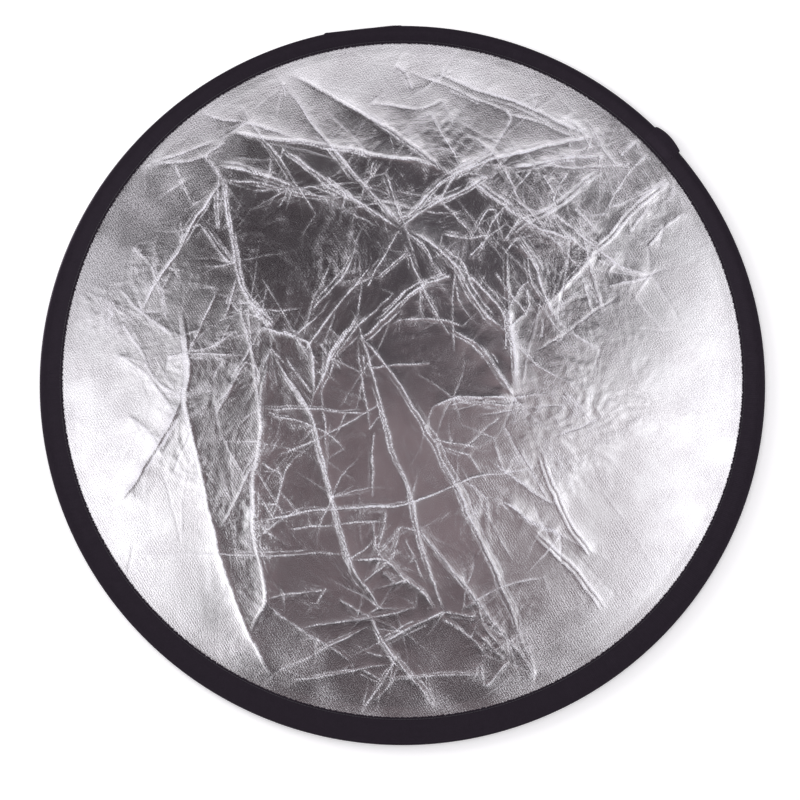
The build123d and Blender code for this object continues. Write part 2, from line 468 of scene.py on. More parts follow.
def add_fans(relief, crest, runs, count, lengths, height, shine, used):
    """Short creases that radiate from the corners of longer ones, at most one fan in each place."""
    for run in runs:
        for corner in (0, len(run) // 2, len(run) - 1):
            x, y = run[corner]
            if any(math.hypot(x - other_x, y - other_y) < FAN_SPACING for other_x, other_y in used):
                continue
            used.append((x, y))
            for _ in range(RNG.integers(1, count + 1)):
                turn = RNG.uniform(0, 2 * math.pi)
                reach = RNG.uniform(*lengths)
                bend = RNG.uniform(-0.1, 0.1) * reach
                dx, dy = math.cos(turn), math.sin(turn)
                middle = (x + 0.5 * reach * dx - bend * dy, y + 0.5 * reach * dy + bend * dx)
                ray = ((x, y), middle, (x + reach * dx, y + reach * dy))
                part = RNG.uniform(0.35, 1.0)
                sign = RNG.choice((-1, 1))
                add_crease(relief, crest, ray, sign * part * height, 0.8, sign * part * 0.06, 4.0,
                           part * shine, fan=True)


def add_companions(relief, crest, runs, count, spread, height, shine):
    """Faint folds that keep beside part of a longer crease, as the fibres of the film break."""
    for run in runs:
        points = smooth_run(run)
        for _ in range(count):
            first = RNG.integers(0, max(1, len(points) // 2))
            last = RNG.integers(first + 1, len(points))
            part = points[first : last + 1] + RNG.normal(0, 0.5, (last + 1 - first, 2))
            beside = RNG.choice((-1, 1)) * RNG.uniform(1.2, spread)
            strength = RNG.uniform(0.3, 1.0)
            sign = RNG.choice((-1, 1))
            add_crease(relief, crest, part, sign * strength * height, 0.75, 0, 3.0,
                       strength * shine, offset=beside)


def add_strays(relief, crest, runs, count):
    """Long faint creases across the cloth, most of them nearly along one of the longer folds."""
    steepness = [math.atan2(run[-1][1] - run[0][1], run[-1][0] - run[0][0]) for run in runs]
    starts = [run[len(run) // 2] for run in runs]
    for _ in range(count):
        which = RNG.integers(0, len(runs))
        x, y = np.array(starts[which]) + RNG.normal(0, STRAY_SCATTER, 2)
        if any(math.hypot((x - cx) / rx, (y - cy) / ry) < 1.1 for cx, cy, rx, ry, _ in CLEAR_PATCHES):
            continue
        turn, half = steepness[which] + RNG.normal(0, 0.3), RNG.uniform(8, 48)
        dx, dy, bend = half * math.cos(turn), half * math.sin(turn), RNG.uniform(-0.08, 0.08)
        run = ((x - dx, y - dy), (x - bend * dy, y + bend * dx), (x + dx, y + dy))
        part = RNG.uniform(0.3, 1.0) * np.clip(1.3 - (math.hypot(x, y) / 230) ** 2, 0.25, 1)
        sign = RNG.choice((-1, 1))
        add_crease(relief, crest, run, sign * part * 0.045, 0.75, sign * part * 0.03, 3.0, 0.7 * part)


def crumple(cell, depth, seed):
    """Shallow dished facets between sharp straight ridges, as in creased foil, about one cell wide."""
    rng = np.random.default_rng(seed)
    reach = int(2 * DISC_RADIUS / cell) + 6
    jitter = rng.uniform(0.0, 1.0, (reach, reach, 2))
    lift = rng.uniform(0.0, 0.35, (reach, reach))
    u, v = (GRID_X + WARP_X) / cell + reach / 2, (GRID_Y + WARP_Y) / cell + reach / 2
    i, j = np.floor(u).astype(int), np.floor(v).astype(int)
    nearest = np.full(GRID_X.shape, np.inf)
    for di in (-1, 0, 1):
        for dj in (-1, 0, 1):
            ci, cj = i + di, j + dj
            dx = ci + jitter[cj, ci, 0] - u
            dy = cj + jitter[cj, ci, 1] - v
            nearest = np.minimum(nearest, dx * dx + dy * dy + lift[cj, ci])
    return depth * nearest


def sample(field, x, y):
    """The field's value at any place, between its grid points."""
    u = np.clip(x / GRID_STEP + GRID_HALF, 0, 2 * GRID_HALF - 1e-6)
    v = np.clip(y / GRID_STEP + GRID_HALF, 0, 2 * GRID_HALF - 1e-6)
    i, j = u.astype(int), v.astype(int)
    s, t = u - i, v - j
    low = field[j, i] * (1 - s) + field[j, i + 1] * s
    high = field[j + 1, i] * (1 - s) + field[j + 1, i + 1] * s
    return low * (1 - t) + high * t


def streaks(turn_width, length, seed, grain_width=0.0):
    """Fibrous scuffs from 0 to 1: noise drawn out along a slowly wandering direction."""
    if grain_width:
        grain = smooth_noise(grain_width, seed)
    else:
        grain = np.random.default_rng(seed).normal(size=GRID_X.shape)
    turn = math.pi * 1.1 * smooth_noise(turn_width, seed + 1)
    step = max(GRID_STEP, 0.6 * grain_width)
    dx, dy = step * np.cos(turn), step * np.sin(turn)
    total = grain.copy()
    for side in (-1, 1):
        x, y = GRID_X.copy(), GRID_Y.copy()
        for _ in range(int(length / step)):
            x += side * dx
            y += side * dy
            total += sample(grain, x, y)
    return total / total.std()


def smooth_step(value, low, high):
    """0 below the low value and 1 above the high one, with a smooth change between them."""
    t = np.clip((value - low) / (high - low), 0, 1)
    return t * t * (3 - 2 * t)


def patch(x, y, radius_x, radius_y):
    """A soft round patch on the grid: 1 at its middle and dying away over its two radii."""
    return np.exp(-(((GRID_X - x) / radius_x) ** 2) - ((GRID_Y - y) / radius_y) ** 2)


def cloth_relief():
    """The height of the crumpled cloth above its flat plane, how sharp and pale its crease lines are
    (wear of the film and in part a painted highlight), its haze.
    """
    relief = np.zeros_like(GRID_X)
    crest = np.zeros_like(GRID_X)
    for run in STRONG:
        add_crease(relief, crest, run, *STRONG_SHAPE)
    for run in WIDE:
        add_crease(relief, crest, run, *WIDE_SHAPE)
    for run in DOUBLE:
        for side in (-DOUBLE_HALF_GAP, DOUBLE_HALF_GAP):
            add_crease(relief, crest, run, *DOUBLE_SHAPE, offset=side)
    for run in LIGHT:
        add_crease(relief, crest, run, *LIGHT_SHAPE)
    used = []  # places that have a fan
    add_fans(relief, crest, STRONG, 6, (14, 60), 0.03, 0.75, used)
    add_fans(relief, crest, LIGHT, 2, (8, 40), 0.02, 0.6, used)
    add_companions(relief, crest, STRONG + WIDE, 4, 4.5, 0.03, 0.75)
    add_companions(relief, crest, LIGHT + DOUBLE, 1, 3.5, 0.02, 0.55)
    add_strays(relief, crest, STRONG + WIDE + DOUBLE + LIGHT, STRAY_COUNT)

    # How crumpled each place is, from 0 to 1
    crumpled = soften(crest, 8.0) * 2.1
    for x, y, radius_x, radius_y, strength in HAZY_PATCHES:
        crumpled += strength * patch(x, y, radius_x, radius_y)
    crumpled = smooth_step(crumpled + 0.35 * smooth_noise(12.0, 21), -0.1, 1.6)
    for x, y, radius_x, radius_y, strength in CLEAR_PATCHES:
        crumpled *= 1 - strength * patch(x, y, radius_x, radius_y)

    # Facets, fibres and broad swells
    feathers = streaks(26.0, 16.0, 33, 1.7)
    fibres = streaks(40.0, 17.0, 31)
    relief += crumple(74.0, 0.18, 3) * (0.2 + 0.8 * crumpled) + crumple(31.0, 0.14, 4) * crumpled
    relief += crumple(12.0, 0.06, 5) * crumpled + 0.03 * smooth_noise(1.5, 22) * crumpled
    relief += 0.020 * feathers * (0.1 + 0.9 * crumpled)
    for x, y, radius_x, radius_y, height in SWELLS:
        relief += height * patch(x, y, radius_x, radius_y)

    # Haze where the film is scuffed, and round the edge, where the binding rubs it
    grain = np.clip(0.5 + 0.6 * smooth_noise(0.7, 35), 0, 1)
    scuffs = 0.05 + 0.60 * smooth_step(fibres, -0.4, 2.6) + 0.50 * smooth_step(feathers, -0.2, 2.4)
    haze = 0.75 * (0.10 + 0.90 * crumpled) * scuffs * (0.45 + 0.55 * grain)
    crest = np.clip(crest, 0, 1) * (0.6 + 0.4 * grain)
    radius = np.hypot(GRID_X, GRID_Y - OPENING_SHIFT)
    rubbed = smooth_step(radius, 170, 290) * (0.05 + 0.09 * np.clip(0.5 + smooth_noise(8.0, 23), 0, 1))
    haze = np.maximum(haze, rubbed)
    # Painted shade: the pale crease lines are dimmed towards the bottom
    crest *= 0.72 + 0.28 * smooth_step(GRID_Y, -190, -60)

    # The binding holds the cloth flat at its edge, and the middle stands proud
    relief -= relief[radius < OPENING_RADIUS].mean()
    held = smooth_step(OPENING_RADIUS + 3 - radius, 0, 12)
    relief = relief * held + DOME_HEIGHT * np.clip(1 - (radius / OPENING_RADIUS) ** 2, 0, None)
    return relief, crest * np.clip(held * 1.5, 0, 1), np.clip(haze, 0, 1)


# The second field is the pale line along each crease: wear of the film, and in part a painted highlight.
RELIEF, CREASE_WEAR_AND_HIGHLIGHT, HAZE = cloth_relief()


def cell_corners(grid):
    """The grid's values at the four corners of each of its cells, in order round the cell."""
    return np.stack([grid[:-1, :-1], grid[:-1, 1:], grid[1:, 1:], grid[1:, :-1]], axis=-1)


def disc_grid():
    """Flat points and faces of a square mesh trimmed to the cloth's circle."""
    count = 2 * GRID_HALF + 1
    radius = np.hypot(GRID_X, GRID_Y)
    inside = radius < CLOTH_RADIUS
    pull = np.where(inside, 1.0, CLOTH_RADIUS / np.maximum(radius, 1.0))
    index = np.arange(count * count).reshape(count, count)
    faces = cell_corners(index)[cell_corners(inside).any(axis=-1)]
    used, local = np.unique(faces, return_inverse=True)
    flat = np.stack([(GRID_X * pull).ravel()[used], (GRID_Y * pull).ravel()[used]], axis=1)
    return flat, local.reshape(-1, 4)


# === Materials ===


class Nodes:
    """A small hand for wiring the nodes of a material or of the world."""

    def __init__(self, owner, end="Principled BSDF"):
        owner.use_nodes = True
        self.owner = owner
        self.tree = owner.node_tree
        self.shader = self.tree.nodes[end]

    def add(self, kind, inputs=None, **settings):
        node = self.tree.nodes.new(kind)
        for key, value in settings.items():
            setattr(node, key, value)
        for key, value in (inputs or {}).items():
            self.feed(node.inputs[key], value)
        return node

    def feed(self, socket, value):
        if isinstance(value, bpy.types.NodeSocket):
            self.tree.links.new(value, socket)
        else:
            socket.default_value = value

    def shade(self, **inputs):
        """Feeds the shader's inputs, named with underscores for spaces, and hands back the owner."""
        for key, value in inputs.items():
            self.feed(self.shader.inputs[key.replace("_", " ")], value)
        return self.owner

    def math(self, operation, a, b=0.0, c=0.0):
        return self.add("ShaderNodeMath", {0: a, 1: b, 2: c}, operation=operation).outputs[0]

    def times(self, a, b, plus=0.0):
        return self.math("MULTIPLY_ADD", a, b, plus)

    def wave(self, value, pitch):
        return self.math("SINE", self.times(value, 2 * math.pi / pitch))

    def place(self, key):
        return self.add("ShaderNodeAttribute", attribute_name=key)

    def split(self, vector):
        return self.add("ShaderNodeSeparateXYZ", {"Vector": vector}).outputs

    def noise(self, vector, scale, detail=2.0, roughness=0.5):
        inputs = {"Vector": vector, "Scale": scale, "Detail": detail, "Roughness": roughness}
        return self.add("ShaderNodeTexNoise", inputs).outputs["Fac"]

    def ramp(self, factor, low, high, to_low=0.0, to_high=1.0):
        inputs = {0: factor, 1: low, 2: high, 3: to_low, 4: to_high}
        return self.add("ShaderNodeMapRange", inputs, interpolation_type="SMOOTHSTEP").outputs[0]

    def mix(self, factor, a, b):
        node = self.add("ShaderNodeMix", data_type="RGBA")
        self.feed(node.inputs["Factor"], factor)
        self.feed(node.inputs["A"], a)
        self.feed(node.inputs["B"], b)
        return node.outputs["Result"]

    def bump(self, height, distance, strength=1.0):
        inputs = {"Height": height, "Distance": distance, "Strength": strength}
        return self.add("ShaderNodeBump", inputs).outputs["Normal"]


RIB_PITCH, WEFT_PITCH = 2.3, 1.9  # the twill's two sets of lines
TWILL_SLOPE = 0.62


def metallic_cloth(name, colour, dull_colour, wear_and_highlight_colour, roughness):
    """Laminated metallic film on a twill: satin gloss, sparkling diagonal ribs, hazy where scuffed, and
    pale along the creases, where wear of the film and a painted highlight are mixed into the colour.
    """
    n = Nodes(bpy.data.materials.new(name))
    place = n.place("flat_place").outputs["Vector"]
    x, y, _ = n.split(place)
    rib_wave = n.wave(n.times(y, TWILL_SLOPE, x), RIB_PITCH)
    weft_wave = n.wave(n.times(x, -TWILL_SLOPE, y), WEFT_PITCH)
    weave = n.times(rib_wave, weft_wave, rib_wave)
    speckle = n.noise(place, 0.85, 2.0, 0.75)
    sparkle = n.times(weave, 0.22, n.ramp(speckle, 0.36, 0.64))
    # Painted highlight in part: the crease lines turn pale and less metallic, besides the film's wear
    # there
    crease_wear_and_highlight = n.times(n.place("crease").outputs["Fac"], n.times(sparkle, 0.75, 0.62))
    haze = n.times(n.place("haze").outputs["Fac"], n.math("ADD", sparkle, 0.45))
    blotches = n.noise(place, 0.03, 4.0, 0.6)
    base = n.mix(n.ramp(blotches, 0.3, 0.7, 0.0, 0.45), colour, dull_colour)
    wear_haze_and_highlight = n.math("MAXIMUM", crease_wear_and_highlight, haze)
    # The pale colour stands for scuffed film and also for the painted highlight along the creases
    base = n.mix(wear_haze_and_highlight, base, wear_and_highlight_colour)
    metallic = n.times(wear_haze_and_highlight, -0.68, 1.0)
    rough = n.times(crease_wear_and_highlight, 0.42, n.times(sparkle, 0.03, n.times(haze, 0.30, roughness)))
    patches = n.times(haze, 0.05, n.ramp(blotches, 0.4, 0.65, 0.003, 0.008))
    relief = n.bump(n.times(sparkle, patches), 1 * MM)
    return n.shade(Base_Color=base, Metallic=metallic, Roughness=rough, Normal=relief)


TAPE_RIB, TAPE_PICK = 1.6, 0.9  # the tape's thread pitches


def binding_cloth(name, lighter=1.0):
    """Black polyester tape: fine cross ribs, a faint purple cast and a soft sheen."""
    n = Nodes(bpy.data.materials.new(name))
    place = n.place("strip_place").outputs["Vector"]
    along, across, _ = n.split(place)
    ribs, picks = n.wave(along, TAPE_RIB), n.wave(across, TAPE_PICK)
    grain = n.noise(place, 0.9, 3.0, 0.7)
    lint = n.noise(place, 0.22, 5.0, 0.75)
    dark = (0.0022 * lighter, 0.0014 * lighter, 0.0026 * lighter, 1)
    pale = (0.0076 * lighter, 0.0053 * lighter, 0.0086 * lighter, 1)
    tone = n.times(grain, 0.6, n.times(lint, 0.5))
    height = n.times(ribs, 0.035, n.times(picks, 0.02, n.times(grain, 0.10)))
    return n.shade(
        Base_Color=n.mix(n.ramp(tone, 0.35, 0.8), dark, pale),
        Roughness=n.times(grain, 0.16, 0.28),
        Specular_IOR_Level=0.3,
        Specular_Tint=(0.95, 0.78, 1.0, 1),
        Sheen_Weight=0.01,
        Sheen_Roughness=0.45,
        Normal=n.bump(height, 1 * MM, 0.4),
    )


def thread_material():
    """Black polyester thread, a little glossier than the tape."""
    n = Nodes(bpy.data.materials.new("seam_thread"))
    place = n.add("ShaderNodeTexCoord").outputs["Object"]
    dark, pale = (0.012, 0.011, 0.014, 1), (0.035, 0.032, 0.04, 1)
    return n.shade(Base_Color=n.mix(n.noise(place, 900.0), dark, pale), Roughness=0.42)


def steel_material(name, colour, roughness):
    """Cold-rolled steel with fine marks and faint stains."""
    n = Nodes(bpy.data.materials.new(name))
    place = n.add("ShaderNodeTexCoord").outputs["Object"]
    marks = n.noise(place, 2600.0, 4.0, 0.7)
    stains = n.noise(place, 60.0, 4.0, 0.6)
    dull = tuple(0.55 * c for c in colour[:3]) + (1,)
    stained = n.mix(n.ramp(stains, 0.4, 0.75), colour, dull)
    rough = n.times(marks, 0.2, roughness)
    return n.shade(Base_Color=stained, Roughness=rough, Metallic=1.0)


def wrap_material():
    """Thin black plastic film over the splice."""
    n = Nodes(bpy.data.materials.new("wrap_plastic"))
    place = n.add("ShaderNodeTexCoord").outputs["Object"]
    ripple = n.noise(place, 300.0, 3.0)
    dark, pale = (0.015, 0.015, 0.016, 1), (0.03, 0.03, 0.032, 1)
    relief = n.bump(ripple, 0.1 * MM)
    return n.shade(Base_Color=n.mix(ripple, dark, pale), Roughness=0.3, Normal=relief)


# Each cloth's third colour is the pale of scuffed film and also the painted highlight along its creases.
SILVER = metallic_cloth(
    "silver_cloth", (0.92, 0.905, 0.925, 1), (0.76, 0.72, 0.75, 1), (0.93, 0.92, 1.0, 1), 0.075
)
GOLD = metallic_cloth(
    "gold_cloth", (0.80, 0.49, 0.15, 1), (0.66, 0.37, 0.09, 1), (0.90, 0.64, 0.28, 1), 0.12
)
TAPE = binding_cloth("binding_cloth")
LAP_TAPE = binding_cloth("binding_lap_cloth", lighter=1.6)
THREAD = thread_material()
SPRING_STEEL = steel_material("spring_steel", (0.42, 0.43, 0.46, 1), 0.28)
SLEEVE_STEEL = steel_material("sleeve_steel", (0.62, 0.62, 0.61, 1), 0.3)
WRAP = wrap_material()


# === Cloth panels ===


def span_areas(flat, faces):
    """The flat area of the cloth in each span, in square metres."""
    a, b, c, d = (flat[faces[:, i]] for i in range(4))
    p, q = c - a, d - b
    areas = 0.5 * np.abs(p[:, 0] * q[:, 1] - p[:, 1] * q[:, 0])
    middles = flat[faces][:, :, 1].mean(axis=1)
    return [areas[(middles > low) & (middles <= high)].sum() * MM**2 for _, low, high, *_ in SPANS]


def cloth_panel(name, material, node, offset):
    """One crumpled cloth disc, with its outer face this far above or below the middle plane."""
    flat, faces = disc_grid()
    x, y = flat.T
    points = np.stack([x, y, MID_HEIGHT + offset + sample(RELIEF, x, y)], axis=1)
    if offset < 0:
        faces = faces[:, ::-1].copy()
    normals = point_normals(points, faces)
    fields = {
        "flat_place": np.stack([x, y, np.zeros_like(x)], axis=1),
        # The pale crease lines: wear of the film, and in part a painted highlight
        "crease": sample(CREASE_WEAR_AND_HIGHLIGHT, x, y),
        "haze": sample(HAZE, x, y),
    }
    made = divide(name, points, faces, material, normals, fields, node)
    for piece, area, (_, low, high, *_) in zip(made, span_areas(flat, faces), SPANS):
        low, high = max(low, -CLOTH_RADIUS), min(high, CLOTH_RADIUS)


cloth_panel("silver_cloth", SILVER, "silver_panel", offset=0.3)
cloth_panel("gold_cloth", GOLD, "gold_panel", offset=-0.35)  # lower, so that they never touch


# === Rim binding ===

SPLICE_FROM, SPLICE_TO = math.radians(90.4), math.radians(102.4)
SPLICE_MIDDLE = (SPLICE_FROM + SPLICE_TO) / 2
SPLICE_STAND = 1.0  # how far the sleeve's ends push the tape out
SPLICE_STEP = math.radians(0.35)
TURN_STEPS = 3024
turns = np.linspace(0, 2 * math.pi, TURN_STEPS, endpoint=False)


def ripple(angle, waves, seed):
    """A smooth random wave round the rim, from -1 to 1, made of whole numbers of waves."""
    rng = np.random.default_rng(seed)
    total = np.zeros_like(angle)
    counts = rng.integers(int(waves * 0.5), int(waves * 1.6), 9)
    for count in counts:
        total += np.sin(count * angle + rng.uniform(0, 2 * math.pi))
    return total / 4.0


def opening_reach(angle):
    """Distance from the disc's centre to the binding's inner edge."""
    sine = np.sin(angle)
    return OPENING_SHIFT * sine + np.sqrt(OPENING_RADIUS**2 - (OPENING_SHIFT * np.cos(angle)) ** 2)


def outer_reach(angle):
    """Distance from the disc's centre to its outer edge: straight along the splice, with end steps."""
    corner = DISC_RADIUS + SPLICE_STAND
    half = (SPLICE_TO - SPLICE_FROM) / 2
    off = np.abs(angle - SPLICE_MIDDLE)
    straight = corner * math.cos(half) / np.cos(np.minimum(off, 1.2))
    step = np.clip((off - half) / SPLICE_STEP, 0, 1)
    return np.where(off < half, straight, corner + (DISC_RADIUS - corner) * step**0.6)


FLAP_RISE = FLAP_TOP - MID_HEIGHT
CORNER = 1.5  # rounding of the rim's outer corners
EDGE_WIDTH = 0.55  # how far in the tape's folded edge rounds over
EDGE_FOOT = 0.30  # height of its foot over the middle plane, on the cloth


def flap_height(angle, radius, lift=0.0):
    """Height of the tape's face over the middle plane, pulled from the hoop down to the seam."""
    inner = opening_reach(angle) + EDGE_WIDTH
    t = np.clip((radius - inner) / (BULGE_RADIUS - inner), 0, 1)
    pull = 0.45 * t + 0.55 * t * t * (3 - 2 * t)
    dent = np.exp(-(((radius - opening_reach(angle) - SEAM_INSET) / 0.9) ** 2))
    pucker = 0.06 * ripple(angle, 110, 6) + 0.03 * ripple(angle, 330, 7) + 0.08 * ripple(angle, 60, 8)
    rise = FLAP_RISE + (RIM_HEIGHT / 2 - FLAP_RISE) * pull
    return rise + lift + np.sin(math.pi * t) * pucker - 0.12 * dent


def rim_stations():
    """The stretches of the tape's section, each with its places from 0 to 1, down to the wall."""
    steps = {"edge": 4, "flap": 34, "crown": 5, "corner": 7}
    stations = []
    for kind, count in steps.items():
        places = np.linspace(0, 1, count, endpoint=kind != "edge")
        stations += [(kind, t) for t in (places if kind in ("edge", "flap") else places[1:])]
    return stations + [("wall", 1.0)]


def rim_section(angle, inner, outer, lift=0.0):
    """Radius and height over the middle plane, at each station, of a tape folded over the hoop."""
    crown = outer - CORNER
    half_height = RIM_HEIGHT / 2
    start = inner + EDGE_WIDTH
    section = []
    for kind, t in rim_stations():
        if kind == "edge":  # the folded edge, rounded, standing on the cloth
            radius = inner + EDGE_WIDTH * (1 - math.cos(t * math.pi / 2))
            top = flap_height(angle, start, lift)
            height = EDGE_FOOT + (top - EDGE_FOOT) * math.sin(t * math.pi / 2)
        elif kind == "flap":
            radius = start + t * (BULGE_RADIUS - start)
            height = flap_height(angle, radius, lift)
        elif kind == "crown":
            radius = BULGE_RADIUS + t * (crown - BULGE_RADIUS)
            height = half_height + lift
        elif kind == "corner":
            turn = t * math.pi / 2
            radius = crown + CORNER * math.sin(turn)
            height = half_height + lift - CORNER * (1 - math.cos(turn))
        else:
            radius = outer
            height = 0.0
        section.append((radius + 0 * angle, height + 0 * angle))
    section += [(radius, -height) for radius, height in section[-2::-1]]
    return np.array(section).transpose(1, 2, 0)


def rim_points(angle, radii, heights, lowest=0.0):
    """Places of a section's points round the rim, and their places on the flat strip."""
    x = radii * np.cos(angle)[:, None]
    y = radii * np.sin(angle)[:, None]
    z = np.maximum(MID_HEIGHT + heights + sample(RELIEF, x, y), lowest)
    across = np.zeros(radii.shape)
    across[:, 1:] = np.cumsum(np.hypot(np.diff(radii, axis=1), np.diff(heights, axis=1)), axis=1)
    along = np.repeat((angle * DISC_RADIUS)[:, None], radii.shape[1], axis=1)
    places = np.stack([along, across, np.zeros_like(across)], axis=-1)
    return np.stack([x, y, z], axis=-1).reshape(-1, 3), places.reshape(-1, 3)


def ring_faces(count, width, closed_along=True, closed_across=True):
    """Faces of a grid of points that may close on itself either way."""
    index = np.arange(count * width).reshape(count, width)
    ahead = np.roll(index, -1, axis=0)
    beside = np.roll(index, -1, axis=1)
    both = np.roll(ahead, -1, axis=1)
    faces = np.stack([index, beside, both, ahead], axis=-1)
    if not closed_along:
        faces = faces[:-1]
    if not closed_across:
        faces = faces[:, :-1]
    return faces.reshape(-1, 4)


LAP_FROM, LAP_TO = math.radians(39.9), math.radians(45.3)
LAP_INNER = 286.7
LAP_THICKNESS = 0.35
LAP_CLEARANCE = 0.04
LAP_ROOM = LAP_THICKNESS + 0.1  # the strip below is pressed in this far under the lap


def rim_binding():
    """The tape, folded over the hoop and both cloths' edges all the way round."""
    inner = opening_reach(turns) + 0.28 * np.sin(turns * 712) + 0.35 * ripple(turns, 300, 5)
    radii, heights = rim_section(turns, inner, outer_reach(turns))
    under_lap = (turns > LAP_FROM) & (turns < LAP_TO)
    points, places = rim_points(turns, radii, heights, np.where(under_lap, LAP_ROOM, 0.0)[:, None])
    faces = ring_faces(*radii.shape)
    normals = point_normals(points, faces)
    divide("rim_binding", points, faces, TAPE, normals, {"strip_place": places},
           "rim_binding")


def binding_lap():
    """The tape's closing end, turned under and lapped over its start, standing out at the edge."""
    angle = np.linspace(LAP_FROM, LAP_TO, 60)
    t = (LAP_TO - angle) / (LAP_TO - LAP_FROM)
    outer = DISC_RADIUS + 1.0 + 2.3 * np.sin(math.pi * t**0.85) ** 0.9 + 0.5 * t
    inner = LAP_INNER + 0.15 * np.sin(angle * 900) + 0 * angle
    shells = []
    for lift, trim in ((LAP_THICKNESS + LAP_CLEARANCE, 0.0), (LAP_CLEARANCE, LAP_THICKNESS)):
        radii, heights = rim_section(angle, inner + trim * 0.3, outer - trim, lift)
        shells.append(rim_points(angle, radii, heights, trim))
    count, width = radii.shape
    outside = ring_faces(count, width, False, False)
    inside = outside[:, ::-1] + count * width
    rows = np.arange(width - 1)
    first = np.stack([rows, rows + count * width, rows + 1 + count * width, rows + 1], axis=1)
    last = (first + (count - 1) * width)[:, ::-1]
    columns = np.arange(count - 1) * width
    top = np.stack([columns, columns + width, columns + width * (count + 1), columns + count * width], 1)
    bottom = (top + width - 1)[:, ::-1]
    faces = np.concatenate([outside, inside, first, last, top, bottom])
    points, places = (np.concatenate(pair) for pair in zip(*shells))
    lap = make_mesh("binding_lap_end", points, faces, LAP_TAPE, None, {"strip_place": places})
    edges = lap.modifiers.new("crisp_edges", "EDGE_SPLIT")
    edges.split_angle = math.radians(50)
    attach(lap, "top_wing")
    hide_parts("binding_lap")


# === Seam threads ===

STITCH_PITCH = 2.5
STITCH_LENGTH = 2.2
THREAD_HALF_WIDTH = 0.24
THREAD_HALF_HEIGHT = 0.16


def stitch_row(name, side):
    """One row of lock stitches, on the upper (side 1) or lower (side -1) face of the tape."""
    seam = OPENING_RADIUS + SEAM_INSET
    count = round(2 * math.pi * seam / STITCH_PITCH)
    middles = np.linspace(0, 2 * math.pi, count, endpoint=False)
    middles = middles + RNG.normal(0, 0.02 * STITCH_PITCH / seam, count)
    along = np.linspace(-1, 1, 9)
    round_turn = np.linspace(0, 2 * math.pi, 8, endpoint=False)
    size = np.sqrt(1 - (0.96 * along) ** 2) ** 0.7
    turn = middles[:, None] + along * STITCH_LENGTH / 2 / seam
    reach = seam + RNG.normal(0, 0.05, (count, 1)) * along
    centre_x = reach * np.cos(turn)
    centre_y = OPENING_SHIFT + reach * np.sin(turn)
    surface = flap_height(np.arctan2(centre_y, centre_x) % (2 * math.pi), np.hypot(centre_x, centre_y))
    lift = surface + THREAD_HALF_HEIGHT * (1.1 - 1.3 * along**4)
    wide = THREAD_HALF_WIDTH * size[:, None] * np.cos(round_turn)
    high = THREAD_HALF_HEIGHT * size[:, None] * np.sin(round_turn)
    x = centre_x[:, :, None] + wide * np.cos(turn)[:, :, None]
    y = centre_y[:, :, None] + wide * np.sin(turn)[:, :, None]
    z = MID_HEIGHT + sample(RELIEF, x, y) + side * (lift[:, :, None] + high)
    points = np.stack([x, y, z], axis=-1).reshape(-1, 3)
    one = ring_faces(len(along), len(round_turn), closed_along=False)
    if side > 0:
        one = one[:, ::-1]
    per_stitch = len(along) * len(round_turn)
    faces = (one[None] + np.arange(count)[:, None, None] * per_stitch).reshape(-1, 4)
    normals = point_normals(points, faces)
    divide(name, points, faces, THREAD, normals, {}, name)


# === Spring hoop and its splice ===

HOOP_THICKNESS = 0.8
HOOP_WIDTH = 4.0
HOOP_CORNER = 0.16  # rounding of the band's edges
HOOP_GAP = 1.0
SPLICE_ANGLE = math.radians(96.7)


def spring_hoop():
    """The flat spring-steel band with rounded edges, open by a small gap inside the sleeve."""
    half_gap = HOOP_GAP / 2 / HOOP_RADIUS
    angle = SPLICE_ANGLE + np.linspace(half_gap, 2 * math.pi - half_gap, 1400)
    outline = []
    for quarter, (side_r, side_z) in enumerate(((1, 1), (-1, 1), (-1, -1), (1, -1))):
        for t in np.linspace(0, math.pi / 2, 4):
            turn = t + quarter * math.pi / 2
            r = side_r * (HOOP_THICKNESS / 2 - HOOP_CORNER) + HOOP_CORNER * math.cos(turn)
            z = side_z * (HOOP_WIDTH / 2 - HOOP_CORNER) + HOOP_CORNER * math.sin(turn)
            outline.append((HOOP_RADIUS + r, z))
    radii, heights = (np.tile(column, (len(angle), 1)) for column in zip(*outline))
    x, y = radii * np.cos(angle)[:, None], radii * np.sin(angle)[:, None]
    points = np.stack([x, y, MID_HEIGHT + heights], axis=-1).reshape(-1, 3)
    faces = ring_faces(len(angle), len(outline), closed_along=False)[:, ::-1]
    width = len(outline)
    caps = []
    for start, flip in ((0, False), ((len(angle) - 1) * width, True)):
        for i in range(width // 2 - 1):
            cap = [start + i, start + i + 1, start + width - 2 - i, start + width - 1 - i]
            caps.append(cap[::-1] if flip else cap)
    faces = np.concatenate([faces, np.array(caps)])
    normals = point_normals(points, faces)
    divide("spring_hoop", points, faces, SPRING_STEEL, normals, {}, "spring_hoop")


def finish_splice():
    """Better materials on the splice's own CAD pieces."""
    looks = {"splice_sleeve": SLEEVE_STEEL, "splice_rivets": SLEEVE_STEEL, "splice_wrap": WRAP}
    for node, material in looks.items():
        for material_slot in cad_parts[node].material_slots:
            material_slot.material = material


rim_binding()
binding_lap()
stitch_row("needle_thread", 1)
stitch_row("bobbin_thread", -1)
spring_hoop()
finish_splice()


# === Floor, light and camera ===

FLOOR_HALF = 8.0  # metres
FLOOR_DROP = 0.15  # millimetres under the resting plane


def stage_floor():
    """A white backdrop that the disc lies on."""
    half = FLOOR_HALF / MM
    corners = ((-half, -half), (half, -half), (half, half), (-half, half))
    points = np.array([(x, y, -FLOOR_DROP) for x, y in corners])
    paper = Nodes(bpy.data.materials.new("floor_paper")).shade(
        Base_Color=(0.97, 0.97, 0.96, 1),
        Roughness=0.9,
        Specular_IOR_Level=0.1,
        Emission_Color=(1, 1, 1, 1),
        Emission_Strength=0.28,  # burns out to white, as a lit backdrop
    )
    make_mesh("floor", points, np.array([[0, 1, 2, 3]]), paper)


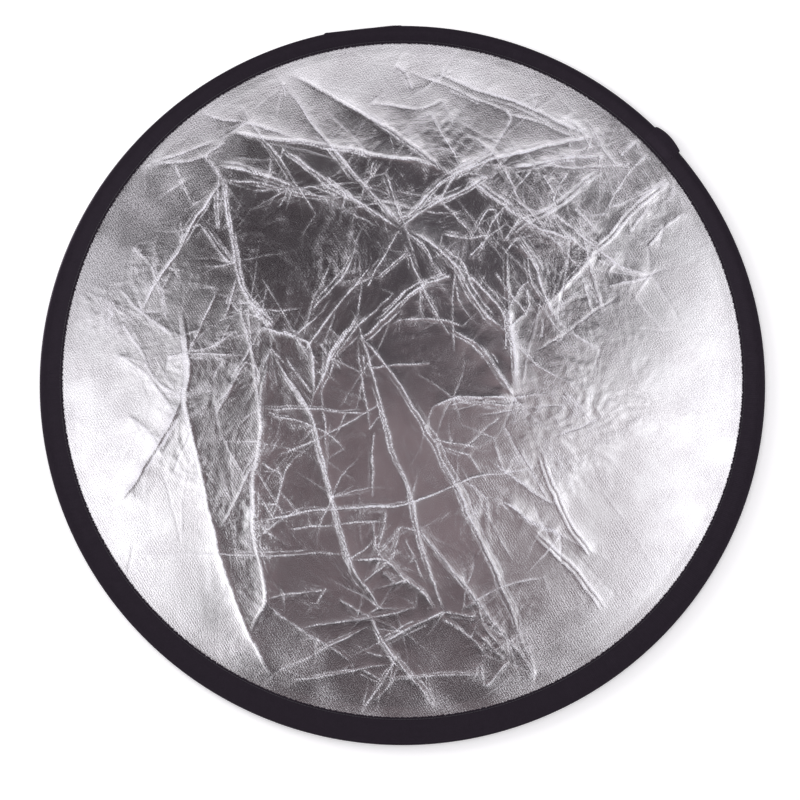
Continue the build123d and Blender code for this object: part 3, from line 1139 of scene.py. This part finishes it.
# Soft-edged rectangles on the sky, over a point one metre up: middle, half size, fade, colour.
# Later ones lie on top of earlier ones.
SKY_PANELS = (
    ((0.0, -1.65), (4.0, 1.35), 0.3, (0.38, 0.36, 0.39, 1)),
    ((-1.6, 0.0), (0.85, 1.3), 0.25, (0.48, 0.47, 0.50, 1)),
    ((1.6, 0.0), (0.85, 1.3), 0.25, (0.48, 0.47, 0.50, 1)),
    ((0.0, 1.0), (0.9, 0.52), 0.08, (0.50, 0.48, 0.51, 1)),
    ((0.0, 0.080), (0.31, 0.232), 0.040, (0.027, 0.022, 0.025, 1)),
    ((0.02, 0.0775), (0.075, 0.0875), 0.05, (0.178, 0.140, 0.149, 1)),
    ((-0.37, -0.04), (0.225, 0.195), 0.055, (1.45, 1.45, 1.48, 1)),
    ((-0.385, -0.11), (0.24, 0.15), 0.045, (1.45, 1.45, 1.48, 1)),
    ((-0.36, 0.15), (0.145, 0.09), 0.05, (0.80, 0.79, 0.83, 1)),
    ((0.34, 0.15), (0.235, 0.085), 0.045, (1.26, 1.26, 1.29, 1)),
    ((0.372, -0.09), (0.245, 0.16), 0.034, (1.26, 1.26, 1.29, 1)),
    ((0.068, 0.222), (0.092, 0.082), 0.035, (0.05, 0.044, 0.05, 1)),
)
LOW_WALL, HIGH_WALL = (0.42, 0.41, 0.43, 1), (0.98, 0.97, 1.0, 1)
HORIZON = (0.12, 0.45)  # sines of the elevations where the low wall ends and the high wall starts
SKY_STRENGTH = 1.18


def studio_world():
    """A bright tent all round with a dark opening overhead, where the camera looks through."""
    world = bpy.data.worlds.new("studio")
    bpy.context.scene.world = world
    n = Nodes(world, "Background")
    toward = n.add("ShaderNodeTexCoord").outputs["Generated"]
    dx, dy, dz = n.split(toward)
    up = n.math("MAXIMUM", dz, 0.02)
    px, py = n.math("DIVIDE", dx, up), n.math("DIVIDE", dy, up)
    sky = n.mix(n.ramp(dz, *HORIZON), LOW_WALL, HIGH_WALL)
    for middle, half_size, fade, colour in SKY_PANELS:
        out_x, out_y = (
            n.math("SUBTRACT", n.math("ABSOLUTE", n.math("SUBTRACT", place, centre)), half)
            for place, centre, half in zip((px, py), middle, half_size)
        )
        beyond = n.math("MAXIMUM", out_x, out_y)
        sky = n.mix(n.ramp(beyond, fade, -fade), sky, colour)
    seen = n.add("ShaderNodeLightPath").outputs["Is Camera Ray"]
    n.shade(Color=n.mix(seen, sky, (1, 1, 1, 1)), Strength=SKY_STRENGTH)


LAMP_PLACE = (-1.1, 0.55, 0.55)  # metres
LAMP_SIZE = 0.6
LAMP_POWER = 9.0


def side_lamp():
    """A soft square lamp to the left, turned towards the disc."""
    light = bpy.data.lights.new("left_lamp", "AREA")
    light.size = LAMP_SIZE
    light.energy = LAMP_POWER
    light.color = (1.0, 0.98, 1.0)
    lamp = bpy.data.objects.new("left_lamp", light)
    lamp.location = LAMP_PLACE
    lamp.rotation_euler = (-Vector(LAMP_PLACE)).to_track_quat("-Z", "Y").to_euler()
    bpy.context.scene.collection.objects.link(lamp)


def photo_camera():
    """The camera looks down from just in front of the disc, far enough off for a flat perspective."""
    distance = 3.0
    elevation = math.radians(82.7)
    aim = (-0.0020, -0.0157, MID_HEIGHT * MM)
    sensor = 36.0
    disc_share = 0.4536  # the disc's radius as a share of the picture's width
    camera = bpy.data.cameras.new("camera")
    camera.sensor_width = sensor
    camera.lens = sensor * disc_share * distance / (DISC_RADIUS * MM)
    camera.clip_end = 50
    holder = bpy.data.objects.new("camera", camera)
    holder.location = (
        aim[0],
        aim[1] - distance * math.cos(elevation),
        aim[2] + distance * math.sin(elevation),
    )
    holder.rotation_euler = (math.pi / 2 - elevation, 0, 0)
    bpy.context.scene.collection.objects.link(holder)
    bpy.context.scene.camera = holder


stage_floor()
studio_world()
side_lamp()
photo_camera()
bpy.context.scene.view_settings.view_transform = "Standard"
